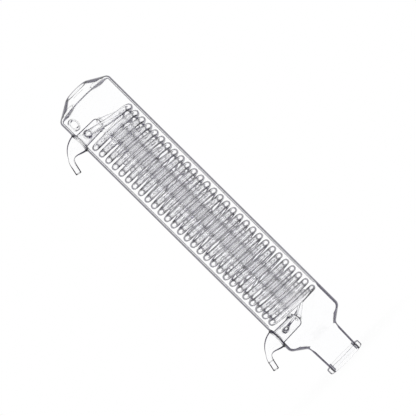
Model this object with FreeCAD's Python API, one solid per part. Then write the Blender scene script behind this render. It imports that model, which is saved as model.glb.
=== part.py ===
import FreeCAD, Part
import math
import os

# A vertical glass condenser for a rotary evaporator, standing on its ground mouth.
# +Z runs up its axis, the origin is the centre of the mouth's ground face, and both
# hose arms point to -X. All lengths are millimetres and all angles are degrees.

# Outer shell
shell_diameter = 90.0
shell_wall = 2.8
overall_height = 497.0
crown_flat_radius = 17.5
crown_slope = 31.0
crown_plate = 10.5
crown_rim_fillet = 14.0
crown_shoulder_fillet = 7.0
ceiling_flat_radius = 12.0
ceiling_slope = 12.5
ceiling_fillet = 60.0
ceiling_edge_fillet = 4.0
shoulder_level = 59.3
shoulder_slope = 36.0
shoulder_fillet = 9.0
neck_fillet = 8.0
neck_top_radius = 24.6
neck_end_radius = 23.4

# Ground ring at the mouth
flange_diameter = 56.0
flange_height = 8.5
flange_edge_fillet = 1.6

# Levels of the two cooling water ports, from the crown and from the shoulder
upper_port_drop = 52.5
lower_port_rise = 23.7

# Hose arms: a wide horn at the wall that bends down and narrows to a nozzle
arm_root_radius = 14.0
arm_nozzle_radius = 4.1
arm_reach = 28.5
arm_drop = 26.8
arm_root_wall = 2.2
arm_nozzle_wall = 1.5
arm_nozzle_length = 12.0
arm_nozzle_slant = 13.0
arm_root_pull = 0.61
arm_nozzle_pull = 0.6
arm_taper_share = 0.66

# Chambers: closed pockets of tube inside the wall that feed the coils
chamber_root_radius = 10.4
chamber_tip_radius = 9.0
chamber_wall = 1.6
chamber_tip_inset = 5.0
chamber_tip_fillet = 6.5

# Nested coils of glass tube
outer_tube_radius = 4.4
middle_tube_radius = 3.5
inner_tube_radius = 2.85
wall_clearance = 3.1
coil_clearance = 4.7
middle_coil_offset = 1.3
inner_coil_offset = 1.8
outer_pitch = 11.92
middle_pitch = 13.85
inner_pitch = 8.93

# How far each coil starts below the upper ports and ends above the lower ones
outer_lead_drop = 11.0
outer_lead_rise = 12.5
middle_lead_drop = 9.85
middle_lead_rise = 16.95
inner_lead_drop = 17.4
inner_lead_rise = 22.6
lead_pull = 0.45

# Where the coils start and end round the axis
outer_coil_angle = 60.0
middle_coil_angle = 30.0
inner_coil_angle = 180.0

# Where each coil leaves the chambers: depth from the wall or the tip, and distance aside
outer_entry_depth = 16.5
outer_entry_inset = 1.8
middle_entry_depth = 3.0
middle_entry_aside = 4.0
middle_entry_rise = 1.5
middle_entry_fall = 1.0
middle_entry_turn = 30.5
middle_entry_slope = 5.8
inner_entry_depth = 6.5
inner_entry_aside = 3.5
inner_entry_inset = 2.5

# Vacuum port on the back left of the head
vacuum_port_radius = 8.75
vacuum_port_wall = 2.25
vacuum_port_reach = 4.5
vacuum_port_rise = 24.5
vacuum_port_heading = 140.0
vacuum_port_edge_fillet = 0.8

# Facets of the coils' tubes, and how near to upright a tube may start
outer_sides = 8
outer_steps = 10
slim_sides = 6
middle_steps = 9
inner_steps = 8
lead_steps = 6
arm_steps = 7
steep_start = 0.9

# Sizes that follow from those above
shell_radius = shell_diameter / 2
bore_radius = shell_radius - shell_wall
upper_port_level = overall_height - upper_port_drop
lower_port_level = shoulder_level + lower_port_rise
outer_coil_radius = bore_radius - wall_clearance - outer_tube_radius
middle_coil_radius = outer_coil_radius - outer_tube_radius - coil_clearance - middle_tube_radius
inner_coil_radius = middle_coil_radius - middle_tube_radius - coil_clearance - inner_tube_radius
chamber_bore_radius = chamber_root_radius - chamber_wall
Z_AXIS = FreeCAD.Vector(0, 0, 1)


def slope_drop(run, slope):
    """Height lost over a horizontal run at a slope in degrees."""
    return run * math.tan(math.radians(slope))


def offset_corners(corners, wall):
    """Corners of a line that runs a wall's thickness inside an outline of (r, z, fillet)."""
    shifted = []
    for before, here, after in zip(corners, corners[1:], corners[2:]):
        first = unit_normal(before, here)
        second = unit_normal(here, after)
        spread = 1 + first[0] * second[0] + first[1] * second[1]
        move = [wall * (first[i] + second[i]) / spread for i in (0, 1)]
        turn = first[0] * second[1] - first[1] * second[0]
        fillet = here[2] - wall if turn < 0 else here[2] + wall
        shifted.append((here[0] + move[0], here[1] + move[1], max(fillet, wall / 2)))
    return shifted


def unit_normal(start, end):
    """Unit vector towards the axis side of an outline that is drawn from the top down."""
    run, rise = end[0] - start[0], end[1] - start[1]
    length = math.hypot(run, rise)
    return rise / length, -run / length


def rounded_outline(corners):
    """Edges through (r, z, fillet) corners in the XZ plane, with tangent arcs at the fillets."""
    points = [FreeCAD.Vector(r, 0, z) for r, z, _ in corners]
    edges = []
    last = points[0]
    for index in range(1, len(points) - 1):
        fillet = corners[index][2]
        corner = points[index]
        to_before = (points[index - 1] - corner).normalize()
        to_after = (points[index + 1] - corner).normalize()
        half = to_before.getAngle(to_after) / 2
        if fillet > 0:
            start = corner + to_before * (fillet / math.tan(half))
            end = corner + to_after * (fillet / math.tan(half))
            centre_line = (to_before + to_after).normalize()
            middle = corner + centre_line * (fillet / math.sin(half) - fillet)
            edges.append(Part.LineSegment(last, start).toShape())
            edges.append(Part.Arc(start, middle, end).toShape())
            last = end
        else:
            edges.append(Part.LineSegment(last, corner).toShape())
            last = corner
    edges.append(Part.LineSegment(last, points[-1]).toShape())
    return edges


def revolved(corners):
    """Solid of revolution about Z from a closed outline of (r, z, fillet) corners."""
    face = Part.Face(Part.Wire(rounded_outline(corners + [corners[0]])))
    return face.revolve(FreeCAD.Vector(0, 0, 0), Z_AXIS, 360)


def on_x(shape, level):
    """A solid of revolution about Z, laid along X at a level, its top towards the axis."""
    shape.rotate(FreeCAD.Vector(0, 0, 0), FreeCAD.Vector(0, 1, 0), 90)
    shape.translate(FreeCAD.Vector(0, 0, level))
    return shape


def barrel(radius):
    """Solid cylinder on the axis, as tall as the condenser."""
    return Part.makeCylinder(radius, overall_height)


def shell_corners():
    """Outer outline of the shell, from the crown's edge down to the flange."""
    shoulder_run = shell_radius - neck_top_radius
    crown_run = shell_radius - crown_flat_radius
    return [
        (0, overall_height, 0),
        (crown_flat_radius, overall_height, crown_rim_fillet),
        (shell_radius, overall_height - slope_drop(crown_run, crown_slope), crown_shoulder_fillet),
        (shell_radius, shoulder_level, shoulder_fillet),
        (neck_top_radius, shoulder_level - slope_drop(shoulder_run, shoulder_slope), neck_fillet),
        (neck_end_radius, flange_height, 0),
    ]


def make_jacket():
    """The shell, thick at the crown over a low domed ceiling, with a hole at each port."""
    outer = shell_corners()
    inner = offset_corners(outer, shell_wall)[2:]
    ceiling = overall_height - crown_plate
    bore = shell_radius - shell_wall
    ceiling_edge = ceiling - slope_drop(bore - ceiling_flat_radius, ceiling_slope)
    dome = [
        (0, ceiling, 0),
        (ceiling_flat_radius, ceiling, ceiling_fillet),
        (bore, ceiling_edge, ceiling_edge_fillet),
    ]
    mouth = (neck_end_radius - shell_wall, flange_height, 0)
    solid = revolved(outer + [(0, flange_height, 0)])
    hollow = revolved(dome + inner + [mouth, (0, flange_height, 0)])
    jacket = solid.cut(hollow)
    for level in (upper_port_level, lower_port_level):
        jacket = jacket.cut(on_x(Part.makeCylinder(chamber_bore_radius, shell_diameter), level)
                            .mirror(FreeCAD.Vector(0, 0, 0), FreeCAD.Vector(1, 0, 0)))
    return jacket.cut(vacuum_rod(vacuum_port_radius - vacuum_port_wall, shell_diameter))


def vacuum_rod(radius, length):
    """Rod from the axis out along the vacuum port."""
    heading = math.radians(vacuum_port_heading)
    base = FreeCAD.Vector(0, 0, upper_port_level + vacuum_port_rise)
    return Part.makeCylinder(radius, length, base, FreeCAD.Vector(math.cos(heading), math.sin(heading), 0))


def make_vacuum_port():
    """Short stub of tube with a rounded rim, seated on the shell."""
    reach = shell_radius + vacuum_port_reach
    rod = vacuum_rod(vacuum_port_radius, reach)
    rod = rod.cut(vacuum_rod(vacuum_port_radius - vacuum_port_wall, reach))
    rim = [edge for edge in rod.Edges if is_rim(edge, reach)]
    return rod.makeFillet(vacuum_port_edge_fillet, rim).cut(barrel(shell_radius))


def is_rim(edge, reach):
    """Whether an edge lies on the vacuum port's outer end."""
    heading = math.radians(vacuum_port_heading)
    centre = edge.BoundBox.Center
    return centre.x * math.cos(heading) + centre.y * math.sin(heading) > reach - vacuum_port_wall


def make_mouth_flange():
    """Thick ring with its ground face at z = 0 and the neck's bore through it."""
    rim = flange_diameter / 2
    bore = neck_end_radius - shell_wall
    return revolved([
        (bore, 0, 0),
        (rim, 0, flange_edge_fillet),
        (rim, flange_height, flange_edge_fillet),
        (bore, flange_height, 0),
    ])


def bezier(start, start_pull, end_pull, end, share):
    """Point on a cubic curve."""
    rest = 1 - share
    return (start * rest ** 3 + start_pull * (3 * rest ** 2 * share)
            + end_pull * (3 * rest * share ** 2) + end * share ** 3)


def arm_solid(level, root_radius, nozzle_radius, overrun):
    """Horn from inside the shell's wall that bends down into a straight nozzle."""
    slant = math.radians(arm_nozzle_slant)
    heading = FreeCAD.Vector(-math.sin(slant), 0, -math.cos(slant))
    root = FreeCAD.Vector(-shell_radius, 0, level)
    end = root + FreeCAD.Vector(-arm_reach, 0, -arm_drop) - heading * arm_nozzle_length
    bend_drop = root.z - end.z
    leaving = root + FreeCAD.Vector(-arm_root_pull * arm_reach, 0, 0)
    arriving = end - heading * (arm_nozzle_pull * bend_drop)
    shares = [step / arm_steps for step in range(arm_steps + 1)]
    centres = [bezier(root, leaving, arriving, end, share) for share in shares]
    radii = [horn_radius(share, root_radius, nozzle_radius) for share in shares]
    headings = [after - before for before, after in zip(centres, centres[2:])]
    headings = [FreeCAD.Vector(-1, 0, 0)] + headings + [heading]
    circles = [Part.Circle(c, h, r) for c, h, r in zip(centres, headings, radii)]
    horn = Part.makeLoft([Part.Wire(circle.toShape()) for circle in circles], True, False)
    stub = Part.makeCylinder(root_radius, shell_radius, root, FreeCAD.Vector(1, 0, 0))
    nozzle = Part.makeCylinder(nozzle_radius, arm_nozzle_length + overrun, end, heading)
    return horn.fuse([stub, nozzle])


def horn_radius(share, root_radius, nozzle_radius):
    """Radius along the horn: a softened taper that ends before the nozzle starts."""
    along = min(share / arm_taper_share, 1)
    eased = along * along * (3 - 2 * along)
    return root_radius + (nozzle_radius - root_radius) * (along + eased) / 2


def make_hose_arm(level):
    """Hollow hose arm, cut to seat on the shell."""
    outside = arm_solid(level, arm_root_radius, arm_nozzle_radius, 0)
    bore = arm_solid(level, arm_root_radius - arm_root_wall, arm_nozzle_radius - arm_nozzle_wall,
                     arm_nozzle_length)
    return outside.cut([bore, barrel(shell_radius)])


def chamber_body(level, wall):
    """Tapered pocket with a rounded tip, inside the shell, shrunk by a wall on every side."""
    tip = -chamber_tip_inset - wall
    outline = [
        (0, -shell_radius, 0),
        (chamber_root_radius - wall, -shell_radius, 0),
        (chamber_tip_radius - wall, tip, chamber_tip_fillet - wall),
        (0, tip, 0),
    ]
    return on_x(revolved(outline), level).common(barrel(bore_radius))


def make_chamber(level):
    """Hollow chamber that seats on the shell's inside, round the port's hole."""
    return chamber_body(level, 0).cut(chamber_body(level, chamber_wall))


def lead(start, start_heading, end, end_heading):
    """Points of a smooth bend that leaves one place and arrives at another."""
    pull = lead_pull * (end - start).Length
    leaving = start + start_heading.normalize() * pull
    arriving = end - end_heading.normalize() * pull
    return [bezier(start, leaving, arriving, end, step / lead_steps) for step in range(lead_steps + 1)]


def left_handed_turns(centre_x, radius, top, bottom, start_angle, end_angle, pitch, steps):
    """Points of a coil that falls as it turns from +X to +Y, and its headings at both ends."""
    part_turn = (end_angle - start_angle) / 360 % 1
    turns = round((top - bottom) / pitch - part_turn) + part_turn
    count = round(turns * steps)
    points = []
    for index in range(count + 1):
        share = index / count
        angle = math.radians(start_angle + 360 * turns * share)
        height = top + (bottom - top) * share
        points.append(FreeCAD.Vector(centre_x + radius * math.cos(angle), radius * math.sin(angle), height))
    fall = (bottom - top) / (2 * math.pi * turns * radius)
    headings = [FreeCAD.Vector(-math.sin(math.radians(a)), math.cos(math.radians(a)), fall)
                for a in (start_angle, end_angle)]
    return points, headings


def tube(points, radius, sides):
    """Solid tube with flat sides along a line of points, its section carried without twist."""
    normal = None
    sections = []
    for index, point in enumerate(points):
        before = points[max(index - 1, 0)]
        after = points[min(index + 1, len(points) - 1)]
        heading = (after - before).normalize()
        normal = normal or heading.cross(Z_AXIS if abs(heading.z) < steep_start else FreeCAD.Vector(1, 0, 0))
        normal = (normal - heading * normal.dot(heading)).normalize()
        across = heading.cross(normal)
        ring = []
        for side in range(sides):
            angle = 2 * math.pi * side / sides
            ring.append(point + (normal * math.cos(angle) + across * math.sin(angle)) * radius)
        sections.append(Part.makePolygon(ring + [ring[0]]))
    return Part.makeLoft(sections, True, True)


def coil(centre_x, coil_radius, tube_radius, top, bottom, angles, pitch, steps, sides, ports):
    """Coil with its leads, cut where it meets the chambers."""
    turns, headings = left_handed_turns(centre_x, coil_radius, top, bottom, *angles, pitch, steps)
    (upper_place, upper_heading), (lower_place, lower_heading) = ports
    lead_in = lead(upper_place, upper_heading, turns[0], headings[0])
    lead_out = lead(turns[-1], headings[1], lower_place, lower_heading)
    body = tube(lead_in[:-1] + turns + lead_out[1:], tube_radius, sides)
    return body.cut([chamber_body(level, 0) for level in (upper_port_level, lower_port_level)])


def make_outer_coil():
    """Widest coil: it leaves the chambers' near side at the top and far side at the bottom."""
    entry = -shell_radius + outer_entry_depth
    side = chamber_root_radius - outer_entry_inset
    upper = FreeCAD.Vector(entry, -side, upper_port_level)
    lower = FreeCAD.Vector(entry, side, lower_port_level)
    ports = ((upper, FreeCAD.Vector(0, -1, 0)), (lower, FreeCAD.Vector(0, -1, 0)))
    return coil(0, outer_coil_radius, outer_tube_radius, upper_port_level - outer_lead_drop,
                lower_port_level + outer_lead_rise, (-outer_coil_angle, outer_coil_angle),
                outer_pitch, outer_steps, outer_sides, ports)


def make_middle_coil():
    """Second coil: it leaves the chambers' tips sideways."""
    tip = -chamber_tip_inset - middle_entry_depth
    upper = FreeCAD.Vector(tip, -middle_entry_aside, upper_port_level + middle_entry_rise)
    lower = FreeCAD.Vector(tip, middle_entry_aside, lower_port_level - middle_entry_fall)
    turn, fall = math.radians(middle_entry_turn), -math.tan(math.radians(middle_entry_slope))
    ports = ((upper, FreeCAD.Vector(math.sin(turn), -math.cos(turn), fall)),
             (lower, FreeCAD.Vector(-math.sin(turn), -math.cos(turn), fall)))
    return coil(middle_coil_offset, middle_coil_radius, middle_tube_radius,
                upper_port_level - middle_lead_drop, lower_port_level + middle_lead_rise,
                (-middle_coil_angle, middle_coil_angle),
                middle_pitch, middle_steps, slim_sides, ports)


def make_inner_coil():
    """Narrowest coil: it hangs below the upper chamber's tip and ends on the lower one's top."""
    tip = -chamber_tip_inset - inner_entry_depth
    upper = FreeCAD.Vector(tip, inner_entry_aside, upper_port_level - inner_entry_inset)
    lower = FreeCAD.Vector(tip, -inner_entry_aside, lower_port_level + inner_entry_inset)
    ports = ((upper, FreeCAD.Vector(0, 0, -1)), (lower, FreeCAD.Vector(0, 0, -1)))
    return coil(inner_coil_offset, inner_coil_radius, inner_tube_radius,
                upper_port_level - inner_lead_drop, lower_port_level + inner_lead_rise,
                (inner_coil_angle, inner_coil_angle), inner_pitch, inner_steps, slim_sides, ports)


PIECES = {
    "jacket": make_jacket(),
    "mouth_flange": make_mouth_flange(),
    "upper_hose_arm": make_hose_arm(upper_port_level),
    "lower_hose_arm": make_hose_arm(lower_port_level),
    "upper_chamber": make_chamber(upper_port_level),
    "lower_chamber": make_chamber(lower_port_level),
    "outer_coil": make_outer_coil(),
    "middle_coil": make_middle_coil(),
    "inner_coil": make_inner_coil(),
    "vacuum_port": make_vacuum_port(),
}

os.makedirs("parts", exist_ok=True)
for name, shape in PIECES.items():
    shape.Solids[0].exportStep(os.path.join("parts", name + ".step"))
    print(name, len(shape.Solids), "solid", round(shape.Volume / 1000, 2), "cm3", shape.isValid())
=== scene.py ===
import math
import bpy
from mathutils import Matrix, Vector
from mathutils.kdtree import KDTree


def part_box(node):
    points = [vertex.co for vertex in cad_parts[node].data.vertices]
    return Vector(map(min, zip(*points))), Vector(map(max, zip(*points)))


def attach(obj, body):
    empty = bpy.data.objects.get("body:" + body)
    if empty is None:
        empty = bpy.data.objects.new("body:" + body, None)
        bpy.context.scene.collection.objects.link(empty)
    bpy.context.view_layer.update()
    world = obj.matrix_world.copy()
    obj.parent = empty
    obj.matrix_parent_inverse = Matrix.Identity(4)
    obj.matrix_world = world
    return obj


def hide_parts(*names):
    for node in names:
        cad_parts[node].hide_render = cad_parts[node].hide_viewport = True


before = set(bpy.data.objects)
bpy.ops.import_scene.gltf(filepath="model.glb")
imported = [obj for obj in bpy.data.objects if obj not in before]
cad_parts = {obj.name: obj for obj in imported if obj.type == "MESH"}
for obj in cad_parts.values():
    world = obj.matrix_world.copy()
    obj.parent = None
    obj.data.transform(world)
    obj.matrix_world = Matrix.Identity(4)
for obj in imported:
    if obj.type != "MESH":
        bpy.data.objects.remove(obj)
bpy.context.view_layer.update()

# A rotary evaporator condenser of clear glass, dressed round its frame.
MM = 0.001
PACE = 1.0

# Sizes read from the frame
JACKET_LOW, JACKET_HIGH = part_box("jacket")
SHELL_RADIUS = JACKET_HIGH.x
TOP = JACKET_HIGH.z
NECK_END = JACKET_LOW.z
RIM_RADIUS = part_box("mouth_flange")[1].x
CHAMBER_BOXES = {side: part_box(side + "_chamber") for side in ("upper", "lower")}
CHAMBER_LOW, CHAMBER_HIGH = CHAMBER_BOXES["upper"]
PORT_LEVELS = {side: (box[0].z + box[1].z) / 2 for side, box in CHAMBER_BOXES.items()}
UPPER, LOWER = PORT_LEVELS["upper"], PORT_LEVELS["lower"]

# The shell and its mouth
SHELL_WALL = 2.8 * MM
BORE_RADIUS = SHELL_RADIUS - SHELL_WALL
CROWN_FLAT = 17.5 * MM
CROWN_SLOPE = math.radians(31)
CROWN_PLATE = 10.5 * MM
CROWN_RIM_FILLET = 14 * MM
CROWN_SHOULDER_FILLET = 7 * MM
CEILING_FLAT = 12.0 * MM
CEILING_SLOPE = math.radians(12.5)
CEILING_FILLET = 60 * MM
CEILING_EDGE_FILLET = 4 * MM
SHOULDER_LEVEL = LOWER - 23.7 * MM
SHOULDER_SLOPE = math.radians(36)
SHOULDER_FILLET = 9 * MM
NECK_TOP_RADIUS = 24.6 * MM
NECK_END_RADIUS = 23.4 * MM
NECK_FILLET = 8 * MM
NECK_END_FILLET = 1.2 * MM
RING_FILLET = 1.6 * MM

# The hose arms
ARM_ROOT = 14.0 * MM
ARM_NOZZLE = 4.1 * MM
ARM_ROOT_WALL = 2.2 * MM
ARM_NOZZLE_WALL = 1.5 * MM
ARM_REACH = 28.5 * MM
ARM_DROP = 26.8 * MM
ARM_ROOT_STUB = (6 * MM, 3 * MM)
ARM_ROOT_PULL = 0.61
ARM_NOZZLE_PULL = 0.6
ARM_TAPER_SHARE = 0.66
NOZZLE_LENGTH = 12.0 * MM
NOZZLE_SLANT = math.radians(13)

# The vacuum port
PORT_RADIUS = 8.75 * MM
PORT_BORE = 6.5 * MM
PORT_REACH = 4.5 * MM
PORT_LIP = 0.9 * MM
PORT_HEADING = math.radians(140)
PORT_LEVEL = UPPER + 24.5 * MM

# The chambers and the ends of the coils
CHAMBER_ROOT = (CHAMBER_HIGH.z - CHAMBER_LOW.z) / 2
CHAMBER_TIP = 9.0 * MM
CHAMBER_WALL = 1.6 * MM
CHAMBER_TIP_FILLET = 6.5 * MM
LEAST_TIP_FILLET = 1 * MM
LEAD_PULL = 0.45
FOOT_FLARE = 2.2 * MM
BORE_FOOT_GROWTH = 0.5 * MM
BORE_FOOT_FLARE = 1.5 * MM

# Beads of melted glass, by the radius of their section
ARM_BEAD = 1.1 * MM
ARM_BEAD_INSET = 0.2 * MM
CHAMBER_BEAD = 0.9 * MM
COIL_BEAD = 0.7 * MM
COIL_BEAD_INSET = 0.3 * MM
PORT_BEAD = 0.8 * MM
LIP_BEAD = 0.7 * MM
SEAM_BEAD = 0.45 * MM

# Gaps at the seals, and how far cutters run past what they cut
SEAL_GAP = 0.02 * MM
SHELL_FOOT = SEAL_GAP * 10
OVERRUN = 2 * MM
ARM_BORE_OVERRUN = 3 * MM
CAVITY_OVERRUN = 4 * MM
PORT_HOLE_OUTWARD = 4 * MM
PORT_HOLE_INWARD = 8 * MM
VACUUM_HOLE_SHARES = (0.6, 1.1)
VACUUM_ROOT_SHARE = 0.8
VACUUM_BORE_SHARE = 0.5
COIL_HOLE_BACK = 1 * MM
COIL_HOLE_REACH = 9 * MM
CUTTER_FOOT = 0.02
FAR = 0.1

# How finely curves are divided
ROUND = 128
ARC_STEPS = 10
SHELL_STRETCH = 12 * MM
RING_STRETCH = 6 * MM
CHAMBER_STRETCH = 4 * MM
ARM_SIDES = 56
ROD_SIDES = 48
PORT_SIDES = 64
CHAMBER_SIDES = 64
COIL_HOLE_SIDES = 24
BEND_STEPS = 28
NOZZLE_STEPS = 8
LIP_STEPS = 6
LEAD_STEPS = 18
BEAD_STEPS = 72
BEAD_SIDES = 12
LEAST_COIL_SIDES = 8
LEAST_COIL_STEPS = 12
CHAMBER_LINE = [x * MM for x in range(-50, 1, 2)]
SHARP_ANGLE = math.radians(35)
NEARLY_ZERO = 1e-7

# Coils, in millimetres and degrees: each port is a place from its chamber's level, with a heading
COILS = {
    "outer": dict(
        centre=0, coil=34.7, tube=4.4, wall=1.3, foot=6.4, stand=1.9,
        start=-60, end=60, pitch=11.92, drop=11.0, rise=12.5, sides=16, steps=36,
        ports=(((-28.5, -8.0, 0), (0, -1, 0)), ((-28.5, 8.0, 0), (0, -1, 0)))),
    "middle": dict(
        centre=1.3, coil=22.1, tube=3.5, wall=1.1, foot=4.4, stand=4.2,
        start=-30, end=30, pitch=13.85, drop=9.85, rise=16.95, sides=14, steps=32,
        ports=(((-8, -4, 1.5), (0.5, -0.85, -0.1)), ((-8, 4, -1), (-0.5, -0.85, -0.1)))),
    "inner": dict(
        centre=1.8, coil=11.05, tube=2.85, wall=1.0, foot=3.4, stand=6.4,
        start=180, end=180, pitch=8.93, drop=17.4, rise=22.6, sides=12, steps=28,
        ports=(((-11.5, 3.5, -2.5), (0, 0, -1)), ((-11.5, -3.5, 2.5), (0, 0, -1)))),
}

# Looks of the glass: its clear colour, the dark colour of the shade painted on its grazing edges, and the
# ripples left by drawing the tube
CLEAR = (0.995, 0.995, 0.998)
# Dark colour of the shade painted on the glass's grazing edges
EDGE_SHADE = (0.006, 0.005, 0.012)
GLASS_SPECULAR = 0.2
EVEN_BLEND = 0.5
# Painted shade on level tubes: how steep a normal must be to give their upper and lower edge lines
LEVEL_NORMAL = (0.70, 0.85)
RIPPLE_SCALE = (60, 60, 12)
RIPPLE_DETAIL = 2.0
RIPPLE_DEPTH = 0.0004
# Painted shade on the hose arms: their edge shade widens between these drops below their port, by this
# amount
ARM_DARK_DROPS = (6 * MM, 20 * MM)
ARM_DARKENING = 0.25

# The camera, whose target lies a little above its own height
CAMERA_X = 0.013
CAMERA_DISTANCE = 2.6
CAMERA_HEIGHT = 0.235
TARGET_HEIGHT = 0.2665
CAMERA_ROLL = math.radians(45.27)
FRAME_WIDTH = 0.541
SENSOR_WIDTH = 36
CLIP_RANGE = (0.05, 100)

# The surroundings, the floor and the lamp
WHITE = (1, 1, 1, 1)
WORLD_LIGHT = 0.30
FLOOR_REACH = 3
FLOOR_COLOUR = (0.96, 0.96, 0.96, 1)
FLOOR_ROUGHNESS = 0.9
FLOOR_FADE = (0.02, 0.13)
FLOOR_LEAST_WHITE = 0.96
LAMP_PLACE = Vector((-1.2, -1.4, 1.6))
LAMP_TARGET = Vector((0, 0, 0.25))
LAMP_SIZE = 1.2
LAMP_POWER = 24

# Light paths through the nested walls of glass
GLASS_BOUNCES = 48
GLOSSY_BOUNCES = 8
TRANSPARENT_BOUNCES = 16


def rounded(corners):
    """Points of an outline through (r, z, fillet) corners, with arcs at the fillets."""
    points = [Vector((r, z)) for r, z, _ in corners]
    outline = [points[0]]
    for index in range(1, len(points) - 1):
        fillet, corner = corners[index][2], points[index]
        to_before = (points[index - 1] - corner).normalized()
        to_after = (points[index + 1] - corner).normalized()
        half = to_before.angle(to_after) / 2
        if fillet <= 0:
            outline.append(corner)
            continue
        centre = corner + (to_before + to_after).normalized() * (fillet / math.sin(half))
        start = corner + to_before * (fillet / math.tan(half)) - centre
        end = corner + to_after * (fillet / math.tan(half)) - centre
        sweep = start.angle_signed(end)
        for step in range(ARC_STEPS + 1):
            angle = -sweep * step / ARC_STEPS
            outline.append(centre + Matrix.Rotation(angle, 2) @ start)
    outline.append(points[-1])
    return outline


def densified(outline, longest):
    """The outline with its long straight stretches divided."""
    dense = [outline[0]]
    for before, after in zip(outline, outline[1:]):
        count = max(1, math.ceil((after - before).length / longest))
        dense += [before.lerp(after, step / count) for step in range(1, count + 1)]
    return dense


def offset(corners, wall):
    """Corners a wall's thickness inside an outline of (r, z, fillet) that is drawn from the top down."""
    shifted = []
    for before, here, after in zip(corners, corners[1:], corners[2:]):
        first, second = inward(before, here), inward(here, after)
        move = (first + second) * (wall / (1 + first.dot(second)))
        turn = first.x * second.y - first.y * second.x
        fillet = here[2] + (wall if turn > 0 else -wall)
        shifted.append((here[0] + move.x, here[1] + move.y, max(fillet, wall / 2)))
    return shifted


def inward(start, end):
    """Unit vector towards the axis side of a stretch of outline."""
    along = Vector((end[0] - start[0], end[1] - start[1])).normalized()
    return Vector((along.y, -along.x))


def new_mesh(name, points, faces):
    """An object in the scene with a mesh of these points and faces."""
    mesh = bpy.data.meshes.new(name)
    mesh.from_pydata(points, [], faces)
    mesh.update()
    piece = bpy.data.objects.new(name, mesh)
    bpy.context.scene.collection.objects.link(piece)
    return piece


def spun(name, outline, segments):
    """Closed solid of revolution about Z from an outline that starts and ends on the axis."""
    points = [(0, 0, outline[0].y)]
    rings = outline[1:-1]
    for ring in rings:
        for segment in range(segments):
            angle = 2 * math.pi * segment / segments
            points.append((ring.x * math.cos(angle), ring.x * math.sin(angle), ring.y))
    points.append((0, 0, outline[-1].y))
    last = len(points) - 1
    faces = []
    for segment in range(segments):
        after = (segment + 1) % segments
        faces.append((0, 1 + segment, 1 + after))
        for ring in range(len(rings) - 1):
            here, below = 1 + ring * segments, 1 + (ring + 1) * segments
            faces.append((here + segment, below + segment, below + after, here + after))
        bottom = 1 + (len(rings) - 1) * segments
        faces.append((last, bottom + after, bottom + segment))
    return new_mesh(name, points, faces)


def cylinder(name, radius, top, bottom):
    """Closed cylinder on the condenser's axis, used to cut others."""
    return spun(name, [Vector(p) for p in ((0, top), (radius, top), (radius, bottom), (0, bottom))], ROUND)


def swept(name, path, radii, sides):
    """Closed round rod along a path of points, with a radius at each."""
    points, faces = [], []
    normal = None
    for index, place in enumerate(path):
        before, after = path[max(index - 1, 0)], path[min(index + 1, len(path) - 1)]
        heading = (after - before).normalized()
        if normal is None:
            normal = heading.orthogonal()
        normal = (normal - heading * normal.dot(heading)).normalized()
        across = heading.cross(normal)
        for side in range(sides):
            angle = 2 * math.pi * side / sides
            points.append(place + (normal * math.cos(angle) + across * math.sin(angle)) * radii[index])
    for ring in range(len(path) - 1):
        here, there = ring * sides, (ring + 1) * sides
        for side in range(sides):
            after = (side + 1) % sides
            faces.append((here + side, here + after, there + after, there + side))
    end = (len(path) - 1) * sides
    faces.append(tuple(reversed(range(sides))))
    faces.append(tuple(end + side for side in range(sides)))
    return new_mesh(name, points, faces)


def rod_cutter(path, radius, sides=ROD_SIDES):
    """Closed rod used to cut a round hole."""
    return swept("cutter", path, [radius] * len(path), sides)


def carved(piece, cutters):
    """Cuts closed solids out of the piece and removes them."""
    for cutter in cutters:
        change = piece.modifiers.new("change", "BOOLEAN")
        change.operation = "DIFFERENCE"
        change.solver = "MANIFOLD"
        change.object = cutter
    depsgraph = bpy.context.evaluated_depsgraph_get()
    mesh = bpy.data.meshes.new_from_object(piece.evaluated_get(depsgraph))
    piece.modifiers.clear()
    piece.data = mesh
    mesh.name = piece.name
    for cutter in cutters:
        bpy.data.objects.remove(cutter)
    return piece


def shell_corners():
    """Outer outline of the shell from the crown to the neck's end."""
    crown_fall = (SHELL_RADIUS - CROWN_FLAT) * math.tan(CROWN_SLOPE)
    shoulder_fall = (SHELL_RADIUS - NECK_TOP_RADIUS) * math.tan(SHOULDER_SLOPE)
    return [
        (0, TOP, 0),
        (CROWN_FLAT, TOP, CROWN_RIM_FILLET),
        (SHELL_RADIUS, TOP - crown_fall, CROWN_SHOULDER_FILLET),
        (SHELL_RADIUS, SHOULDER_LEVEL, SHOULDER_FILLET),
        (NECK_TOP_RADIUS, SHOULDER_LEVEL - shoulder_fall, NECK_FILLET),
        (NECK_END_RADIUS, NECK_END, NECK_END_FILLET),
    ]


def make_shell():
    """The shell down to the mouth, open below and holed at the ports."""
    segments = round(ROUND * PACE)
    corners = shell_corners()
    ceiling = TOP - CROWN_PLATE
    ceiling_edge = ceiling - (BORE_RADIUS - CEILING_FLAT) * math.tan(CEILING_SLOPE)
    dome = [
        (0, ceiling, 0),
        (CEILING_FLAT, ceiling, CEILING_FILLET),
        (BORE_RADIUS, ceiling_edge, CEILING_EDGE_FILLET),
    ]
    bore = NECK_END_RADIUS - SHELL_WALL
    mouth = [(bore, NECK_END, 0), (bore, -OVERRUN, 0), (0, -OVERRUN, 0)]
    outer = rounded(corners + [(NECK_END_RADIUS, SHELL_FOOT, 0), (0, SHELL_FOOT, 0)])
    inner = rounded(dome + offset(corners, SHELL_WALL)[2:] + mouth)
    shell = spun("glass_shell", densified(outer, SHELL_STRETCH), segments)
    cavity = spun("cavity", densified(inner, SHELL_STRETCH), segments)
    outside, inside = -SHELL_RADIUS - PORT_HOLE_OUTWARD, -SHELL_RADIUS + PORT_HOLE_INWARD
    holes = [rod_cutter([Vector((outside, 0, level)), Vector((inside, 0, level))],
                        CHAMBER_ROOT - CHAMBER_WALL) for level in (UPPER, LOWER)]
    holes.append(rod_cutter([vacuum_place(share * SHELL_RADIUS) for share in VACUUM_HOLE_SHARES], PORT_BORE))
    return carved(shell, [cavity] + holes)


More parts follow.
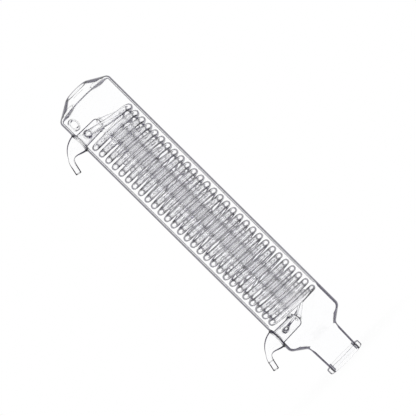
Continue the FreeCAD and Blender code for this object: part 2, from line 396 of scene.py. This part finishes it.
def make_mouth_ring():
    """The thick ring round the neck's end, with its ground face underneath."""
    outer = rounded([
        (0, NECK_END, 0),
        (RIM_RADIUS, NECK_END, RING_FILLET),
        (RIM_RADIUS, 0, RING_FILLET),
        (0, 0, 0),
    ])
    ring = spun("mouth_ring", densified(outer, RING_STRETCH), ROUND)
    return carved(ring, [cylinder("cutter", NECK_END_RADIUS + SEAL_GAP, FAR, -FAR)])


def ring_along(name, centre, first, second, size, thickness, seated):
    """A bead of melted glass round a joint: a closed ring whose points are seated on a surface."""
    points, faces = [], []
    places = []
    for index in range(BEAD_STEPS):
        angle = 2 * math.pi * index / BEAD_STEPS
        places.append(seated(centre + (first * math.cos(angle) + second * math.sin(angle)) * size))
    for index, place in enumerate(places):
        heading = (places[(index + 1) % BEAD_STEPS] - places[index - 1]).normalized()
        away = (place - centre)
        away = (away - heading * away.dot(heading)).normalized()
        across = heading.cross(away)
        for side in range(BEAD_SIDES):
            angle = 2 * math.pi * side / BEAD_SIDES
            points.append(place + (away * math.cos(angle) + across * math.sin(angle)) * thickness)
    for index in range(BEAD_STEPS):
        here, there = index * BEAD_SIDES, (index + 1) % BEAD_STEPS * BEAD_SIDES
        for side in range(BEAD_SIDES):
            beside = (side + 1) % BEAD_SIDES
            faces.append((here + side, here + beside, there + beside, there + side))
    return new_mesh(name, points, faces)


def vacuum_place(distance):
    """Point on the vacuum port's axis at a distance from the condenser's axis."""
    return Vector((distance * math.cos(PORT_HEADING), distance * math.sin(PORT_HEADING), PORT_LEVEL))


def shell_cutter():
    """Solid of the shell's outside, a hair larger, to seat what stands on it."""
    return cylinder("cutter", SHELL_RADIUS + SEAL_GAP, TOP, CUTTER_FOOT)


def bore_cutter():
    """Solid ring of space outside the barrel's bore, to trim what reaches the wall from inside."""
    ring = cylinder("cutter", 2 * SHELL_RADIUS, TOP, CUTTER_FOOT)
    return carved(ring, [cylinder("core", BORE_RADIUS - SEAL_GAP, TOP + FAR, 0)])


def bezier(start, start_pull, end_pull, end, share):
    """Point on a cubic curve."""
    rest = 1 - share
    return (start * rest ** 3 + start_pull * (3 * rest ** 2 * share)
            + end_pull * (3 * rest * share ** 2) + end * share ** 3)


def arm_path(level, overrun=0):
    """Points and shares along a hose arm, from inside the wall through the bend to the nozzle's end."""
    heading = Vector((-math.sin(NOZZLE_SLANT), 0, -math.cos(NOZZLE_SLANT)))
    root = Vector((-SHELL_RADIUS, 0, level))
    end = root + Vector((-ARM_REACH, 0, -ARM_DROP)) - heading * NOZZLE_LENGTH
    leaving = root + Vector((-ARM_ROOT_PULL * ARM_REACH, 0, 0))
    arriving = end - heading * (ARM_NOZZLE_PULL * (root.z - end.z))
    path = [root + Vector((depth, 0, 0)) for depth in ARM_ROOT_STUB]
    shares = [0] * len(path)
    for step in range(BEND_STEPS + 1):
        path.append(bezier(root, leaving, arriving, end, step / BEND_STEPS))
        shares.append(step / BEND_STEPS)
    for step in range(1, NOZZLE_STEPS + 1):
        path.append(end + heading * (NOZZLE_LENGTH * step / NOZZLE_STEPS))
        shares.append(1 + step / NOZZLE_STEPS)
    if overrun:
        path.append(path[-1] + heading * overrun)
        shares.append(2)
    return path, shares


def horn_radius(share, root, nozzle):
    """Radius along the arm: a softened taper that ends before the nozzle."""
    along = min(share / ARM_TAPER_SHARE, 1)
    eased = along * along * (3 - 2 * along)
    return root + (nozzle - root) * (along + eased) / 2


def make_arm(side):
    """Hollow horn and hose nozzle, seated on the shell."""
    level = PORT_LEVELS[side]
    path, shares = arm_path(level)
    radii = [horn_radius(share, ARM_ROOT, ARM_NOZZLE) for share in shares]
    arm = swept(side + "_arm_glass", path, radii, ARM_SIDES)
    path, shares = arm_path(level, ARM_BORE_OVERRUN)
    radii = [horn_radius(share, ARM_ROOT - ARM_ROOT_WALL, ARM_NOZZLE - ARM_NOZZLE_WALL) for share in shares]
    bore = swept("bore", path, radii, ROD_SIDES)
    return carved(arm, [bore, shell_cutter()])


def make_arm_ring(side, kind, share, size, thickness):
    """Ring of glass round the nozzle, a share of the way along it: its lip, or the seam where it starts."""
    path, _ = arm_path(PORT_LEVELS[side])
    heading = (path[-1] - path[-2]).normalized()
    across = Vector((0, 1, 0))
    place = path[-1] - heading * (NOZZLE_LENGTH * (1 - share))
    name = side + "_arm_" + kind
    return ring_along(name, place, across, heading.cross(across), size, thickness, lambda point: point)


def make_vacuum_port():
    """Short stub with a rounded rim, seated on the shell."""
    reach = SHELL_RADIUS + PORT_REACH
    distances = [VACUUM_ROOT_SHARE * SHELL_RADIUS, SHELL_RADIUS + OVERRUN]
    radii = [PORT_RADIUS, PORT_RADIUS]
    for step in range(LIP_STEPS + 1):
        angle = math.pi / 2 * step / LIP_STEPS
        distances.append(reach - PORT_LIP + PORT_LIP * math.sin(angle))
        radii.append(PORT_RADIUS - PORT_LIP + PORT_LIP * math.cos(angle))
    stub = swept("vacuum_port_glass", [vacuum_place(d) for d in distances], radii, PORT_SIDES)
    bore_ends = (VACUUM_BORE_SHARE * SHELL_RADIUS, reach + OVERRUN)
    bore = rod_cutter([vacuum_place(d) for d in bore_ends], PORT_BORE, PORT_SIDES)
    return carved(stub, [bore, shell_cutter()])


def chamber_solid(name, level, wall, reach):
    """Tapered pocket along X with a rounded tip, shrunk by a wall, from a reach outside the shell."""
    length = SHELL_RADIUS + reach + CHAMBER_HIGH.x - wall
    corners = [
        (0, length, 0),
        (CHAMBER_TIP - wall, length, max(CHAMBER_TIP_FILLET - wall, LEAST_TIP_FILLET)),
        (CHAMBER_ROOT - wall, 0, 0),
        (0, 0, 0),
    ]
    piece = spun(name, densified(rounded(corners), CHAMBER_STRETCH), CHAMBER_SIDES)
    turn = Matrix.Rotation(math.pi / 2, 4, "Y")
    piece.data.transform(Matrix.Translation((-SHELL_RADIUS - reach, 0, level)) @ turn)
    return piece


def lead(start, start_heading, end, end_heading):
    """Points of a smooth bend from one place to another."""
    pull = LEAD_PULL * (end - start).length
    leaving = start + start_heading.normalized() * pull
    arriving = end - end_heading.normalized() * pull
    return [bezier(start, leaving, arriving, end, step / LEAD_STEPS) for step in range(LEAD_STEPS + 1)]


def coil_path(centre, radius, top, bottom, start, end, pitch, ports, steps):
    """Points of a left-handed coil with its leads."""
    part = (end - start) / 360 % 1
    turns = round((top - bottom) / pitch - part) + part
    count = round(turns * steps)
    points = []
    for index in range(count + 1):
        share = index / count
        angle = math.radians(start + 360 * turns * share)
        points.append(Vector((centre + radius * math.cos(angle), radius * math.sin(angle),
                              top + (bottom - top) * share)))
    fall = (bottom - top) / (2 * math.pi * turns * radius)
    headings = [Vector((-math.sin(math.radians(a)), math.cos(math.radians(a)), fall)) for a in (start, end)]
    (upper_place, upper_heading), (lower_place, lower_heading) = ports
    lead_in = lead(upper_place, upper_heading, points[0], headings[0])
    lead_out = lead(points[-1], headings[1], lower_place, lower_heading)
    return lead_in[:-1] + points + lead_out[1:]


def flared(path, radius, foot, length):
    """Radius along a tube that flares to a foot at both ends."""
    travelled = [0.0]
    for before, after in zip(path, path[1:]):
        travelled.append(travelled[-1] + (after - before).length)
    total = travelled[-1]
    radii = []
    for distance in travelled:
        nearest = min(distance, total - distance)
        radii.append(radius + (foot - radius) * math.exp(-nearest / length))
    return radii


def coil_line(which):
    """Points along the middle of a coil's tube, leads included."""
    size = COILS[which]
    ports = []
    for (place, heading), level in zip(size["ports"], (UPPER, LOWER)):
        ports.append((Vector(place) * MM + Vector((0, 0, level)), Vector(heading)))
    steps = max(LEAST_COIL_STEPS, round(size["steps"] * PACE))
    return coil_path(size["centre"] * MM, size["coil"] * MM, UPPER - size["drop"] * MM,
                     LOWER + size["rise"] * MM, size["start"], size["end"], size["pitch"] * MM, ports, steps)


def coil_port(size, side):
    """Where a coil meets a chamber, and its heading away from there."""
    place, heading = size["ports"][0 if side == "upper" else 1]
    away = Vector(heading).normalized() * (1 if side == "upper" else -1)
    return Vector(place) * MM + Vector((0, 0, PORT_LEVELS[side])), away


def make_coil(which):
    """Hollow glass coil whose ends seat on the chambers."""
    size = COILS[which]
    sides = max(LEAST_COIL_SIDES, round(size["sides"] * PACE))
    tube = size["tube"] * MM
    bore_size = tube - size["wall"] * MM
    line = coil_line(which)
    coil = swept(which + "_coil_glass", line, flared(line, tube, size["foot"] * MM, FOOT_FLARE), sides)
    bore = swept("bore", line, flared(line, bore_size, bore_size + BORE_FOOT_GROWTH, BORE_FOOT_FLARE), sides)
    seats = [chamber_solid("seat", level, -SEAL_GAP, 0) for level in (UPPER, LOWER)]
    return carved(coil, seats + [bore])


def make_chamber(side):
    """Hollow chamber with a hole where each coil leaves it."""
    level = PORT_LEVELS[side]
    chamber = chamber_solid(side + "_chamber_glass", level, 0, 0)
    cutters = [chamber_solid("cavity", level, CHAMBER_WALL, CAVITY_OVERRUN), bore_cutter()]
    for size in COILS.values():
        place, away = coil_port(size, side)
        cutters.append(rod_cutter([place - away * COIL_HOLE_BACK, place + away * COIL_HOLE_REACH],
                                  (size["tube"] - size["wall"]) * MM, COIL_HOLE_SIDES))
    return carved(chamber, cutters)


def on_barrel(radius):
    """What moves a point out to the barrel's surface, of a radius."""
    def seated(place):
        reach = math.hypot(place.x, place.y)
        return Vector((place.x * radius / reach, place.y * radius / reach, place.z))
    return seated


def on_chamber(level):
    """What moves a point out to the chamber's tapered surface."""
    def seated(place):
        share = (place.x + SHELL_RADIUS) / (CHAMBER_HIGH.x + SHELL_RADIUS)
        radius = CHAMBER_ROOT + (CHAMBER_TIP - CHAMBER_ROOT) * share
        away = Vector((0, place.y, place.z - level)).normalized()
        return Vector((place.x, 0, level)) + away * radius
    return seated


def make_seal_beads(side):
    """Beads of melted glass where an arm and a chamber join the shell, and where coils leave the chamber."""
    level = PORT_LEVELS[side]
    root = Vector((-SHELL_RADIUS, 0, level)), Vector((0, 1, 0)), Vector((0, 0, 1))
    beads = [
        ring_along(side + "_arm_bead", *root, ARM_ROOT - ARM_BEAD_INSET, ARM_BEAD, on_barrel(SHELL_RADIUS)),
        ring_along(side + "_chamber_bead", *root, CHAMBER_ROOT, CHAMBER_BEAD, on_barrel(BORE_RADIUS)),
    ]
    for name, size in COILS.items():
        place, away = coil_port(size, side)
        place = place + away * (size["stand"] * MM)
        first = away.orthogonal().normalized()
        beads.append(ring_along(side + "_" + name + "_bead", place, first, away.cross(first),
                                size["foot"] * MM - COIL_BEAD_INSET, COIL_BEAD, on_chamber(level)))
    return beads


def make_port_bead():
    """Bead of melted glass where the vacuum port joins the shell."""
    across = Vector((-math.sin(PORT_HEADING), math.cos(PORT_HEADING), 0))
    return ring_along("vacuum_port_bead", vacuum_place(SHELL_RADIUS), across, Vector((0, 0, 1)),
                      PORT_RADIUS, PORT_BEAD, on_barrel(SHELL_RADIUS))


def ranged(nodes, links, source, low, high, most=1.0):
    """A value that rises smoothly from 0 at one level to its most at another."""
    node = nodes.new("ShaderNodeMapRange")
    node.interpolation_type = "SMOOTHSTEP"
    node.inputs["From Min"].default_value = low
    node.inputs["From Max"].default_value = high
    node.inputs["To Max"].default_value = most
    links.new(source, node.inputs["Value"])
    return node.outputs["Result"]


def combined(nodes, links, operation, *values):
    """One or two values put through a sum, product, absolute value or larger-of-the-two."""
    node = nodes.new("ShaderNodeMath")
    node.operation = operation
    for value, socket in zip(values, node.inputs):
        links.new(value, socket)
    return node.outputs[0]


def mixed(nodes, links, share, first, second):
    """A mixture of two shaders by a share."""
    node = nodes.new("ShaderNodeMixShader")
    for value, socket in zip((share, first, second), node.inputs):
        links.new(value, socket)
    return node.outputs[0]


def glass(name, rim, ior, ripple=0.0, lying=None, low=()):
    """Clear glass whose grazing edges darken over the rim's range of facing with painted shade, and that may
    ripple.

    The lying range paints shade on the upper and lower edge lines of tubes that run level. Each of low
    widens the painted edge shade from one height down to another, by an amount."""
    material = bpy.data.materials.new(name)
    material.use_nodes = True
    nodes, links = material.node_tree.nodes, material.node_tree.links
    shader = nodes["Principled BSDF"]
    shader.inputs["Transmission Weight"].default_value = 1.0
    shader.inputs["Roughness"].default_value = 0.0
    shader.inputs["IOR"].default_value = ior
    shader.inputs["Specular IOR Level"].default_value = GLASS_SPECULAR
    weight = nodes.new("ShaderNodeLayerWeight")
    weight.inputs["Blend"].default_value = EVEN_BLEND
    facing = widened = weight.outputs["Facing"]
    place = nodes.new("ShaderNodeTexCoord")
    # Painted edge shade widened by height, and narrowed where the amount is below zero
    if low:
        parts = nodes.new("ShaderNodeSeparateXYZ")
        links.new(place.outputs["Object"], parts.inputs[0])
        for top, bottom, amount in low:
            wider = ranged(nodes, links, parts.outputs["Z"], top, bottom, amount)
            widened = combined(nodes, links, "ADD", widened, wider)
    # Painted shade: the base colour turns from clear to the dark edge colour at grazing angles
    edge_shade = ranged(nodes, links, widened, *rim)
    # Painted shade: dark upper and lower edge lines where the normal points steeply up or down on a grazing
    # surface
    if lying:
        geometry = nodes.new("ShaderNodeNewGeometry")
        split = nodes.new("ShaderNodeSeparateXYZ")
        links.new(geometry.outputs["Normal"], split.inputs[0])
        steep = combined(nodes, links, "ABSOLUTE", split.outputs["Z"])
        level = ranged(nodes, links, steep, *LEVEL_NORMAL)
        grazing = ranged(nodes, links, facing, *lying)
        lines = combined(nodes, links, "MULTIPLY", level, grazing)
        edge_shade = combined(nodes, links, "MAXIMUM", edge_shade, lines)
    mix = nodes.new("ShaderNodeMix")
    mix.data_type = "RGBA"
    mix.inputs["A"].default_value = (*CLEAR, 1)
    mix.inputs["B"].default_value = (*EDGE_SHADE, 1)
    links.new(edge_shade, mix.inputs["Factor"])
    links.new(mix.outputs["Result"], shader.inputs["Base Color"])
    stretch = nodes.new("ShaderNodeMapping")
    stretch.inputs["Scale"].default_value = RIPPLE_SCALE
    noise = nodes.new("ShaderNodeTexNoise")
    noise.inputs["Scale"].default_value = 1.0
    noise.inputs["Detail"].default_value = RIPPLE_DETAIL
    bump = nodes.new("ShaderNodeBump")
    bump.inputs["Strength"].default_value = ripple
    bump.inputs["Distance"].default_value = RIPPLE_DEPTH
    links.new(place.outputs["Object"], stretch.inputs["Vector"])
    links.new(stretch.outputs["Vector"], noise.inputs["Vector"])
    links.new(noise.outputs["Fac"], bump.inputs["Height"])
    links.new(bump.outputs["Normal"], shader.inputs["Normal"])
    return material


def side_of_shell(polygon):
    """0 for a face on the shell's outside, 1 for one on its inside."""
    reach = Vector((polygon.center.x, polygon.center.y))
    facing_axis = reach.dot(Vector(polygon.normal[:2])) < NEARLY_ZERO
    return int(reach.length < (BORE_RADIUS + SHELL_RADIUS) / 2 and facing_axis)


def side_of_tube(line):
    """What tells a tube's faces apart: 0 outside, 1 in the bore, 2 in its half towards the coil's middle."""
    tree = KDTree(len(line))
    for index, place in enumerate(line):
        tree.insert(place, index)
    tree.balance()

    def side(polygon):
        away = polygon.center - tree.find(polygon.center)[0]
        if away.dot(polygon.normal) > 0:
            return 0
        return 2 if Vector(polygon.center[:2]).dot(Vector(polygon.normal[:2])) > 0 else 1
    return side


def chamber_line(level):
    """Points along the middle of a chamber, from outside the shell to the axis."""
    return [Vector((x, 0, level)) for x in CHAMBER_LINE]


def finish_piece(piece, materials, slot, *nodes, choice=lambda polygon: 0):
    """Gives a piece its materials, one of them to each face, and its place in the model."""
    mesh = piece.data
    mesh.materials.clear()
    for material in materials:
        mesh.materials.append(material)
    for polygon in mesh.polygons:
        polygon.use_smooth = True
        polygon.material_index = choice(polygon)
    mesh.set_sharp_from_angle(angle=SHARP_ANGLE)
    if nodes:
        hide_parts(*nodes)
    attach(piece, "root")


def make_camera():
    """Camera in front of the condenser, rolled so that it leans across the picture as in the photo."""
    data = bpy.data.cameras.new("camera")
    data.sensor_width = SENSOR_WIDTH
    data.lens = SENSOR_WIDTH * CAMERA_DISTANCE / FRAME_WIDTH
    data.clip_start, data.clip_end = CLIP_RANGE
    camera = bpy.data.objects.new("camera", data)
    bpy.context.scene.collection.objects.link(camera)
    place = Vector((CAMERA_X, -CAMERA_DISTANCE, CAMERA_HEIGHT))
    target = Vector((CAMERA_X, 0, TARGET_HEIGHT))
    forward = (target - place).normalized()
    up = Vector((math.sin(CAMERA_ROLL), 0, math.cos(CAMERA_ROLL)))
    up = (up - forward * up.dot(forward)).normalized()
    right = forward.cross(up)
    turn = Matrix((right, up, -forward)).transposed()
    camera.matrix_world = Matrix.Translation(place) @ turn.to_4x4()
    bpy.context.scene.camera = camera


def make_world():
    """Plain white surroundings at a level that lights colours about as they are written."""
    world = bpy.data.worlds.new("studio")
    bpy.context.scene.world = world
    world.use_nodes = True
    nodes, links = world.node_tree.nodes, world.node_tree.links
    nodes.clear()
    path = nodes.new("ShaderNodeLightPath").outputs
    seen = combined(nodes, links, "MAXIMUM", path["Is Camera Ray"], path["Is Transmission Ray"])
    seen = combined(nodes, links, "MAXIMUM", seen, path["Is Glossy Ray"])
    shades = []
    for strength in (WORLD_LIGHT, 1.0):
        shade = nodes.new("ShaderNodeBackground")
        shade.inputs["Color"].default_value = WHITE
        shade.inputs["Strength"].default_value = strength
        shades.append(shade.outputs[0])
    output = nodes.new("ShaderNodeOutputWorld")
    links.new(mixed(nodes, links, seen, *shades), output.inputs["Surface"])


def make_floor():
    """Pale floor that keeps the condenser's shadow and meets the white surroundings further out."""
    corners = [(FLOOR_REACH * x, FLOOR_REACH * y, 0) for x, y in ((-1, -1), (1, -1), (1, 1), (-1, 1))]
    floor = new_mesh("floor", corners, [(0, 1, 2, 3)])
    material = bpy.data.materials.new("floor")
    material.use_nodes = True
    nodes, links = material.node_tree.nodes, material.node_tree.links
    shader = nodes["Principled BSDF"]
    shader.inputs["Base Color"].default_value = FLOOR_COLOUR
    shader.inputs["Roughness"].default_value = FLOOR_ROUGHNESS
    shader.inputs["Specular IOR Level"].default_value = 0.0
    white = nodes.new("ShaderNodeEmission")
    white.inputs["Color"].default_value = WHITE
    place = nodes.new("ShaderNodeTexCoord")
    length = nodes.new("ShaderNodeVectorMath")
    length.operation = "LENGTH"
    fade = nodes.new("ShaderNodeMapRange")
    fade.inputs["From Min"].default_value, fade.inputs["From Max"].default_value = FLOOR_FADE
    fade.inputs["To Min"].default_value = FLOOR_LEAST_WHITE
    links.new(place.outputs["Object"], length.inputs[0])
    links.new(length.outputs["Value"], fade.inputs["Value"])
    surface = mixed(nodes, links, fade.outputs["Result"], shader.outputs[0], white.outputs[0])
    links.new(surface, nodes["Material Output"].inputs["Surface"])
    floor.data.materials.append(material)


def make_light():
    """One large soft lamp above and to the left."""
    data = bpy.data.lights.new("soft_light", "AREA")
    data.size = LAMP_SIZE
    data.energy = LAMP_POWER
    light = bpy.data.objects.new("soft_light", data)
    light.location = LAMP_PLACE
    light.rotation_euler = (LAMP_TARGET - LAMP_PLACE).to_track_quat("-Z", "Y").to_euler()
    bpy.context.scene.collection.objects.link(light)


make_camera()
make_world()
make_floor()
make_light()

# The rim and lying ranges set how wide each glass's painted edge shade is. The low entries widen that
# painted shade by height on the shell, its bore and the outer coil, and narrow it where the amount is below
# zero.
shell_glass = glass("shell_glass", rim=(0.66, 0.70), ior=1.15, ripple=0.04,
                    low=((0.102, 0.094, 0.09), (0.060, 0.055, -0.07), (0.044, 0.036, 0.13)))
bore_glass = glass("bore_glass", rim=(0.72, 0.77), ior=1.15, ripple=0.04,
                   low=((0.102, 0.094, -0.6), (0.0125, 0.0105, 0.78)))
slim_glass = glass("slim_glass", rim=(0.44, 0.54), ior=1.12, ripple=0.04)
ring_glass = glass("ring_glass", rim=(0.58, 0.74), ior=1.06)
# Painted shade: the beads darken from a low facing on, so they show as dark rings at the seals and at the
# nozzles' lip and seam
bead_glass = glass("bead_glass", rim=(0.10, 0.45), ior=1.12)
coil_glass = glass("coil_glass", rim=(0.62, 0.70), ior=1.25, lying=(0.40, 0.46),
                   low=((0.0985, 0.0945, 0.42),))
middle_coil_glass = glass("middle_coil_glass", rim=(0.66, 0.74), ior=1.25, lying=(0.50, 0.60))
coil_bore_glass = glass("coil_bore_glass", rim=(0.90, 0.96), ior=1.28)
# Painted shade: darker edges on the half of a coil's bore that faces the coil's middle
coil_core_glass = glass("coil_core_glass", rim=(0.61, 0.71), ior=1.28)
slim_coil_glass = glass("slim_coil_glass", rim=(0.64, 0.72), ior=1.12, lying=(0.42, 0.50))

# Faces take their glass by side: an arm and a chamber have one glass in both halves of the bore, while the
# outer and middle coils carry painted shade on the half of the bore towards the coil's middle
finish_piece(make_shell(), [shell_glass, bore_glass], "shell_glass", "jacket", choice=side_of_shell)
finish_piece(make_mouth_ring(), [ring_glass], "flange_glass", "mouth_flange")
for side, level in PORT_LEVELS.items():
    # Painted shade: each arm's edge shade widens lower down, below its port
    dark_from, dark_to = (level - drop for drop in ARM_DARK_DROPS)
    arm_glass = glass(side + "_arm_glass", rim=(0.48, 0.53), ior=1.12,
                      low=((dark_from, dark_to, ARM_DARKENING),))
    finish_piece(make_arm(side), [arm_glass, coil_bore_glass, coil_bore_glass],
                 "shell_glass", side + "_hose_arm", choice=side_of_tube(arm_path(level)[0]))
    finish_piece(make_arm_ring(side, "lip", 1, ARM_NOZZLE - LIP_BEAD, LIP_BEAD), [bead_glass], "shell_glass")
    finish_piece(make_chamber(side), [slim_glass, coil_bore_glass, coil_bore_glass],
                 "coil_glass", side + "_chamber", choice=side_of_tube(chamber_line(level)))
    for bead in make_seal_beads(side):
        finish_piece(bead, [bead_glass], "shell_glass")
for which, outside in (("outer", coil_glass), ("middle", middle_coil_glass)):
    finish_piece(make_coil(which), [outside, coil_bore_glass, coil_core_glass],
                 "coil_glass", which + "_coil", choice=side_of_tube(coil_line(which)))
finish_piece(make_arm_ring("lower", "seam", 0, ARM_NOZZLE, SEAM_BEAD), [bead_glass], "shell_glass")
finish_piece(make_coil("inner"), [slim_coil_glass], "coil_glass", "inner_coil")
finish_piece(make_vacuum_port(), [slim_glass], "shell_glass", "vacuum_port")
finish_piece(make_port_bead(), [bead_glass], "shell_glass")

scene = bpy.context.scene
scene.view_settings.view_transform = "Standard"
scene.cycles.max_bounces = GLASS_BOUNCES
scene.cycles.transmission_bounces = GLASS_BOUNCES
scene.cycles.glossy_bounces = GLOSSY_BOUNCES
scene.cycles.transparent_max_bounces = TRANSPARENT_BOUNCES
